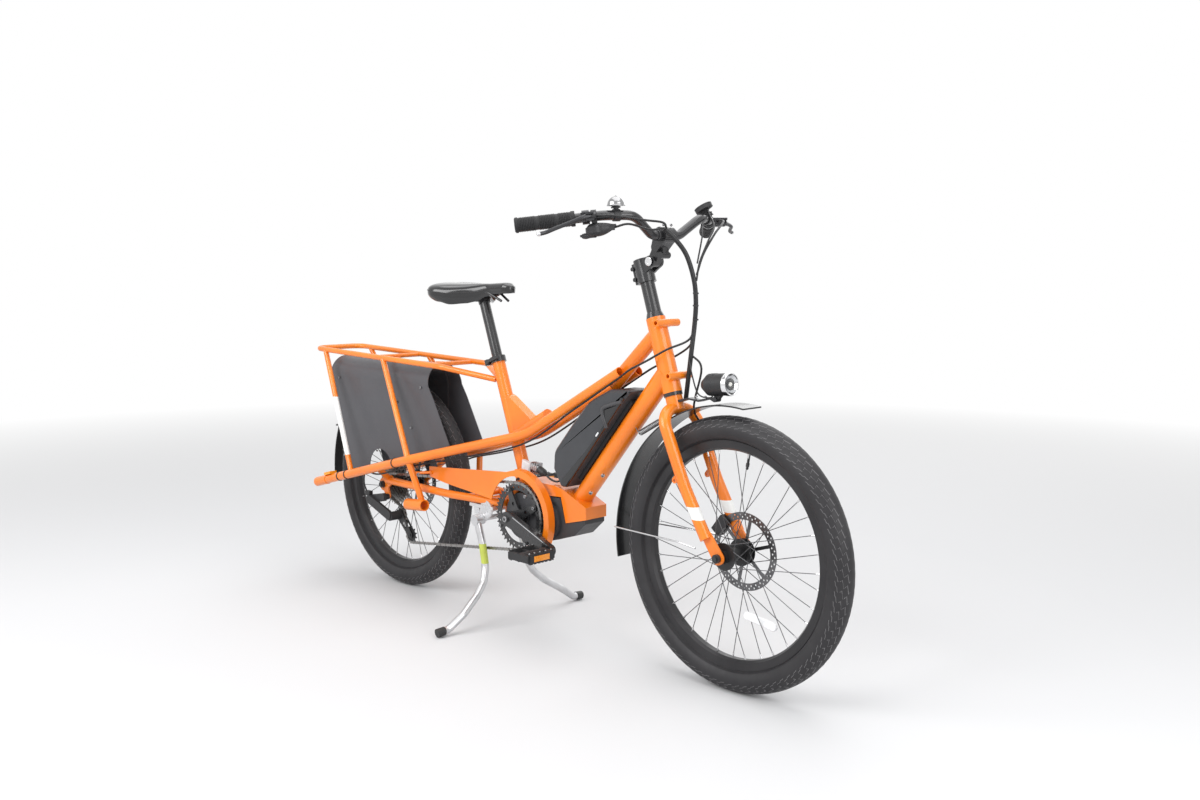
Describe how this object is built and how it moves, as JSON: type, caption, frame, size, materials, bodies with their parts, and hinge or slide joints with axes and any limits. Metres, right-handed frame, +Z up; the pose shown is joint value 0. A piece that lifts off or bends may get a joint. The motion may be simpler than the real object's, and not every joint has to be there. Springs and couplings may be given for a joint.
{
  "type": "longtail cargo bike",
  "caption": "Orange longtail cargo bike with mid motor, frame battery, twin side rails, rear rack, wheel skirts, front light and double stand.",
  "frame": {"origin": "On the floor under the middle of the bike, midway between the rear of the rack and the front of the front tyre, on the centre plane.", "axes": "+X points forward along the bike, +Y to the rider's left, +Z up."},
  "size_m": [1.936, 0.6716, 1.1072],
  "materials": {
    "frame_paint": "orange gloss paint over a light primer",
    "black_metal": "satin black anodised or painted metal",
    "dark_metal": "dark grey painted metal",
    "silver_metal": "brushed and clear-coated",
    "steel": "plain steel, lightly oiled",
    "black_plastic": "fine grained black",
    "battery_plastic": "satin dark grey",
    "skirt_sheet": "smooth satin dark grey sheet",
    "tyre_rubber": "matt black",
    "grip_rubber": "ribbed soft black",
    "vinyl": "black vinyl with a soft sheen",
    "cable_black": "smooth black jacket",
    "chrome_bell": "polished"
  },
  "bodies": {
    "frame": {"main_frame": "frame_paint", "seat_tube": "frame_paint", "side_rails": "frame_paint", "rear_rack": "frame_paint", "rack_struts": "frame_paint", "chainstays": "frame_paint", "headset_cups": "black_metal", "motor_housing": "black_plastic", "battery_mount": "black_plastic", "wheel_skirts": "skirt_sheet", "rear_fender": "black_plastic", "chain_guard": "frame_paint", "chain": "steel", "derailleur": "black_plastic", "rear_axle": "steel", "rear_caliper": "dark_metal", "seat_clamp": "black_metal", "stand_bracket": "silver_metal", "frame_cables": "cable_black", "frame_fittings": "black_plastic", "steering_spring": "steel"},
    "battery": {"battery_case": "battery_plastic"},
    "fork_unit": {"fork": "frame_paint", "riser": "black_metal", "front_fender": "black_plastic", "front_axle": "steel", "front_caliper": "dark_metal", "lamp_bracket": "black_metal", "steering_cables": "cable_black"},
    "stem_and_bar": {"stem_arm": "black_metal", "handlebar": "black_metal", "grips": "grip_rubber", "brake_bodies": "dark_metal", "shifter_pod": "black_plastic", "bar_controls": "black_plastic", "bell": "chrome_bell"},
    "right_brake_lever": {"brake_lever_right": "dark_metal"},
    "left_brake_lever": {"brake_lever_left": "dark_metal"},
    "gear_lever": {"shift_lever": "black_plastic"},
    "bell_lever": {"bell_striker": "black_plastic"},
    "lamp": {"headlamp": "black_plastic"},
    "front_wheel": {"front_tyre": "tyre_rubber", "front_rim": "black_metal", "front_spokes": "steel", "front_hub": "black_metal"},
    "rear_wheel": {"rear_tyre": "tyre_rubber", "rear_rim": "black_metal", "rear_spokes": "steel", "rear_hub": "black_metal"},
    "sprockets": {"cassette": "steel"},
    "crank": {"crankset": "black_metal"},
    "right_pedal": {"pedal_right": "black_plastic"},
    "left_pedal": {"pedal_left": "black_plastic"},
    "guide_pulley": {"pulley_upper": "black_plastic"},
    "tension_pulley": {"pulley_lower": "black_plastic"},
    "seat": {"seatpost": "black_metal", "saddle": "vinyl", "saddle_rails": "black_metal"},
    "stand": {"stand_legs": "silver_metal"},
    "seat_lever": {"clamp_lever": "black_metal"}
  },
  "joints": [
    {"name": "steering", "type": "hinge", "parent": "frame", "child": "fork_unit", "pos_m": [0.58287, 0, 0.313], "axis": [-0.309, 0, 0.9511], "range_deg": [-50, 50], "stiffness_Nm_per_rad": 1.2, "deforming": ["steering_cables", "steering_spring"]},
    {"name": "front_wheel_spin", "type": "hinge", "parent": "fork_unit", "child": "front_wheel", "pos_m": [0.655, 0, 0.313], "axis": [0, 1, 0], "continuous": true},
    {"name": "rear_wheel_spin", "type": "hinge", "parent": "frame", "child": "rear_wheel", "pos_m": [-0.615, 0, 0.313], "axis": [0, 1, 0], "continuous": true},
    {"name": "crank_spin", "type": "hinge", "parent": "frame", "child": "crank", "pos_m": [-0.019, 0, 0.304], "axis": [0, 1, 0], "continuous": true, "deforming": ["chain"]},
    {"name": "sprocket_spin", "type": "hinge", "parent": "frame", "child": "sprockets", "pos_m": [-0.615, 0, 0.313], "axis": [0, 1, 0], "continuous": true},
    {"name": "guide_pulley_spin", "type": "hinge", "parent": "frame", "child": "guide_pulley", "pos_m": [-0.553, 0, 0.228], "axis": [0, 1, 0], "continuous": true},
    {"name": "tension_pulley_spin", "type": "hinge", "parent": "frame", "child": "tension_pulley", "pos_m": [-0.50106, 0, 0.17529], "axis": [0, 1, 0], "continuous": true},
    {"name": "right_pedal_spin", "type": "hinge", "parent": "crank", "child": "right_pedal", "pos_m": [0.14125, -0.15, 0.24725], "axis": [0, 1, 0], "continuous": true},
    {"name": "left_pedal_spin", "type": "hinge", "parent": "crank", "child": "left_pedal", "pos_m": [-0.17925, 0.15, 0.36075], "axis": [0, 1, 0], "continuous": true},
    {"name": "stand_fold", "type": "hinge", "parent": "frame", "child": "stand", "pos_m": [-0.175, 0, 0.273], "axis": [0, 1, 0], "range_deg": [0, 85]},
    {"name": "battery_slide", "type": "slide", "parent": "frame", "child": "battery", "axis": [0, 1, 0], "range_m": [0, 0.12]},
    {"name": "lamp_tilt", "type": "hinge", "parent": "fork_unit", "child": "lamp", "pos_m": [0.601, 0, 0.658], "axis": [0, 1, 0], "range_deg": [-15, 15]},
    {"name": "seatpost_slide", "type": "slide", "parent": "frame", "child": "seat", "axis": [-0.342, 0, 0.9397], "range_m": [-0.05, 0.1]},
    {"name": "seat_lever_turn", "type": "hinge", "parent": "frame", "child": "seat_lever", "pos_m": [-0.18866, -0.018, 0.69559], "axis": [0.342, 0, -0.9397], "range_deg": [0, 150]},
    {"name": "stem_tilt", "type": "hinge", "parent": "fork_unit", "child": "stem_and_bar", "pos_m": [0.40883, 0, 0.96514], "axis": [0, 1, 0], "range_deg": [-15, 15]},
    {"name": "right_brake_pull", "type": "hinge", "parent": "stem_and_bar", "child": "right_brake_lever", "pos_m": [0.42822, -0.22748, 1.06196], "axis": [0.0767, 0.0837, -0.9935], "range_deg": [0, 14], "stiffness_Nm_per_rad": 0.6, "springref_deg": -8.59},
    {"name": "left_brake_pull", "type": "hinge", "parent": "stem_and_bar", "child": "left_brake_lever", "pos_m": [0.42822, 0.22748, 1.06196], "axis": [-0.0767, 0.0837, 0.9935], "range_deg": [0, 14], "stiffness_Nm_per_rad": 0.6, "springref_deg": -8.59},
    {"name": "gear_lever_push", "type": "hinge", "parent": "stem_and_bar", "child": "gear_lever", "pos_m": [0.42068, -0.2061, 1.03902], "axis": [0.0767, 0.0837, -0.9935], "range_deg": [0, 20], "stiffness_Nm_per_rad": 0.2, "springref_deg": -5.73},
    {"name": "bell_push", "type": "hinge", "parent": "stem_and_bar", "child": "bell_lever", "pos_m": [0.43316, -0.1515, 1.08218], "axis": [-0.0111, -0.0243, 0.9996], "range_deg": [0, 18], "stiffness_Nm_per_rad": 0.05, "springref_deg": -5.73}
  ],
  "couplings": [
    {"joint": "sprocket_spin", "follows": "crank_spin", "ratio": 2.9333},
    {"joint": "guide_pulley_spin", "follows": "crank_spin", "ratio": -4},
    {"joint": "tension_pulley_spin", "follows": "crank_spin", "ratio": 4}
  ]
}
